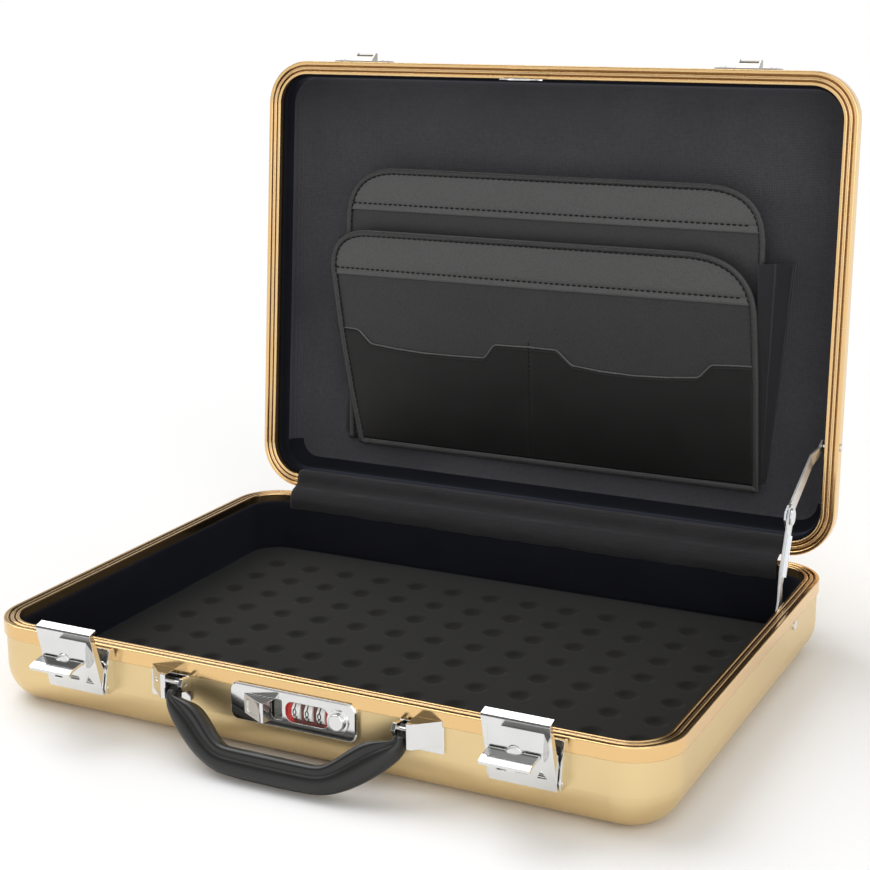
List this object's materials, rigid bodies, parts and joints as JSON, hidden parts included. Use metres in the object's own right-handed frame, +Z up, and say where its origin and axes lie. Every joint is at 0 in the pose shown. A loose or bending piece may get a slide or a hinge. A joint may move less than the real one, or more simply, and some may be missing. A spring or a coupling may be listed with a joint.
{
  "type": "aluminium attache case",
  "caption": "Gold aluminium attache case standing open, with draw latches, combination lock, folding handle, lid stay, foam-padded base and pocket organiser.",
  "frame": {"origin": "middle of the flat bottom of the base, on the surface it rests on", "axes": "+X to the right along the front, +Y from the handle side to the hinge, +Z up; the lid stands open"},
  "size_m": [0.461, 0.4298, 0.3969],
  "materials": {
    "gold_shell": "satin champagne-gold anodised",
    "gold_rim": "bright gold anodised extrusion",
    "velvet": "blue-black flocked lining on a backing board",
    "foam": "charcoal moulded foam",
    "lid_cloth": "charcoal padded cloth",
    "hinge_cloth": "charcoal cloth strip",
    "leather": "black grained leather-look sheet",
    "gusset_cloth": "black pleated cloth",
    "black_plastic": "semi-gloss black",
    "red_backing": "red",
    "dial_white": "off-white number wheels",
    "steel": "plated",
    "hinge_steel": "gold-toned leaf",
    "stay_steel": "bright plated",
    "chrome": "polished"
  },
  "bodies": {
    "base": {"base_shell": "gold_shell", "base_frame": "gold_rim", "base_lining": "velvet", "base_foam_pad": "foam", "hinge_leaf_base": "hinge_steel", "hinge_pin": "steel", "hinge_rivets_base": "hinge_steel", "hinge_cover": "hinge_cloth", "lock_plate": "chrome", "lock_case": "steel", "lock_backing": "red_backing", "dial_axle": "steel", "handle_bracket_left": "chrome", "handle_bracket_right": "chrome", "handle_pins": "steel", "bracket_screws": "steel", "latch_left_mount": "chrome", "latch_right_mount": "chrome", "latch_left_pin": "chrome", "latch_right_pin": "chrome", "latch_rivets": "chrome", "stay_base_rivet": "stay_steel"},
    "lid": {"lid_shell": "gold_shell", "lid_frame": "gold_rim", "lid_lining": "lid_cloth", "pocket_back": "leather", "pocket_front": "leather", "pocket_cards": "leather", "gusset_left": "gusset_cloth", "gusset_right": "gusset_cloth", "hinge_leaf_lid": "hinge_steel", "hinge_rivets_lid": "hinge_steel", "keeper_left": "chrome", "keeper_right": "chrome", "keeper_bar_left": "chrome", "keeper_bar_right": "chrome", "keeper_rivets": "chrome", "lock_striker": "chrome", "stay_lid_rivet": "stay_steel"},
    "handle": {"handle_grip": "black_plastic", "handle_back": "black_plastic"},
    "stay_low": {"stay_lower": "stay_steel"},
    "stay_high": {"stay_upper": "stay_steel", "stay_knuckle_rivet": "stay_steel"},
    "latch_left": {"latch_left_hook": "chrome", "latch_left_boss": "chrome", "latch_left_axle": "chrome"},
    "latch_left_thumb": {"latch_left_tab": "chrome"},
    "latch_right": {"latch_right_hook": "chrome", "latch_right_boss": "chrome", "latch_right_axle": "chrome"},
    "latch_right_thumb": {"latch_right_tab": "chrome"},
    "slide": {"lock_slide": "chrome"},
    "button": {"lock_button": "chrome"},
    "dial_1": {"lock_dial_1": "dial_white"},
    "dial_2": {"lock_dial_2": "dial_white"},
    "dial_3": {"lock_dial_3": "dial_white"}
  },
  "joints": [
    {"name": "lid_hinge", "type": "hinge", "parent": "base", "child": "lid", "pos_m": [0, 0.1697, 0.05515], "axis": [1, 0, 0], "range_deg": [0, 94.6], "deforming": ["hinge_cover"]},
    {"name": "stay_foot", "type": "hinge", "parent": "base", "child": "stay_low", "pos_m": [0.217, 0.082, 0.042], "axis": [1, 0, 0], "range_deg": [0, 109.33]},
    {"name": "stay_knuckle", "type": "hinge", "parent": "stay_low", "child": "stay_high", "pos_m": [0.215, 0.112, 0.105], "axis": [1, 0, 0], "range_deg": [-125.27, 0]},
    {"name": "handle_swing", "type": "hinge", "parent": "base", "child": "handle", "pos_m": [0, -0.1728, 0.0428], "axis": [1, 0, 0], "range_deg": [-112, 16]},
    {"name": "latch_left_swing", "type": "hinge", "parent": "base", "child": "latch_left", "pos_m": [-0.1505, -0.1714, 0.0296], "axis": [1, 0, 0], "range_deg": [-15, 0], "stiffness_Nm_per_rad": 0.05, "springref_deg": 17.19},
    {"name": "latch_left_flip", "type": "hinge", "parent": "latch_left", "child": "latch_left_thumb", "pos_m": [-0.1505, -0.18293, 0.04867], "axis": [1, 0, 0], "range_deg": [0, 98]},
    {"name": "latch_right_swing", "type": "hinge", "parent": "base", "child": "latch_right", "pos_m": [0.1505, -0.1714, 0.0296], "axis": [1, 0, 0], "range_deg": [-15, 0], "stiffness_Nm_per_rad": 0.05, "springref_deg": 17.19},
    {"name": "latch_right_flip", "type": "hinge", "parent": "latch_right", "child": "latch_right_thumb", "pos_m": [0.1505, -0.18293, 0.04867], "axis": [1, 0, 0], "range_deg": [0, 98]},
    {"name": "lock_slide_travel", "type": "slide", "parent": "base", "child": "slide", "axis": [1, 0, 0], "range_m": [0, 0.0045], "stiffness_N_per_m": 250, "springref_m": -0.003},
    {"name": "lock_button_press", "type": "slide", "parent": "base", "child": "button", "axis": [0, 1, 0], "range_m": [0, 0.0025], "stiffness_N_per_m": 300, "springref_m": -0.002},
    {"name": "dial_1_turn", "type": "hinge", "parent": "base", "child": "dial_1", "pos_m": [0.0032, -0.1625, 0.0372], "axis": [1, 0, 0], "continuous": true},
    {"name": "dial_2_turn", "type": "hinge", "parent": "base", "child": "dial_2", "pos_m": [0.0115, -0.1625, 0.0372], "axis": [1, 0, 0], "continuous": true},
    {"name": "dial_3_turn", "type": "hinge", "parent": "base", "child": "dial_3", "pos_m": [0.0198, -0.1625, 0.0372], "axis": [1, 0, 0], "continuous": true}
  ],
  "couplings": [
    {"joint": "stay_foot", "follows": "lid_hinge", "ratio": 1.1552},
    {"joint": "stay_knuckle", "follows": "lid_hinge", "ratio": -1.3237},
    {"joint": "latch_left_flip", "follows": "latch_left_swing", "ratio": -6.5333},
    {"joint": "latch_right_flip", "follows": "latch_right_swing", "ratio": -6.5333}
  ]
}
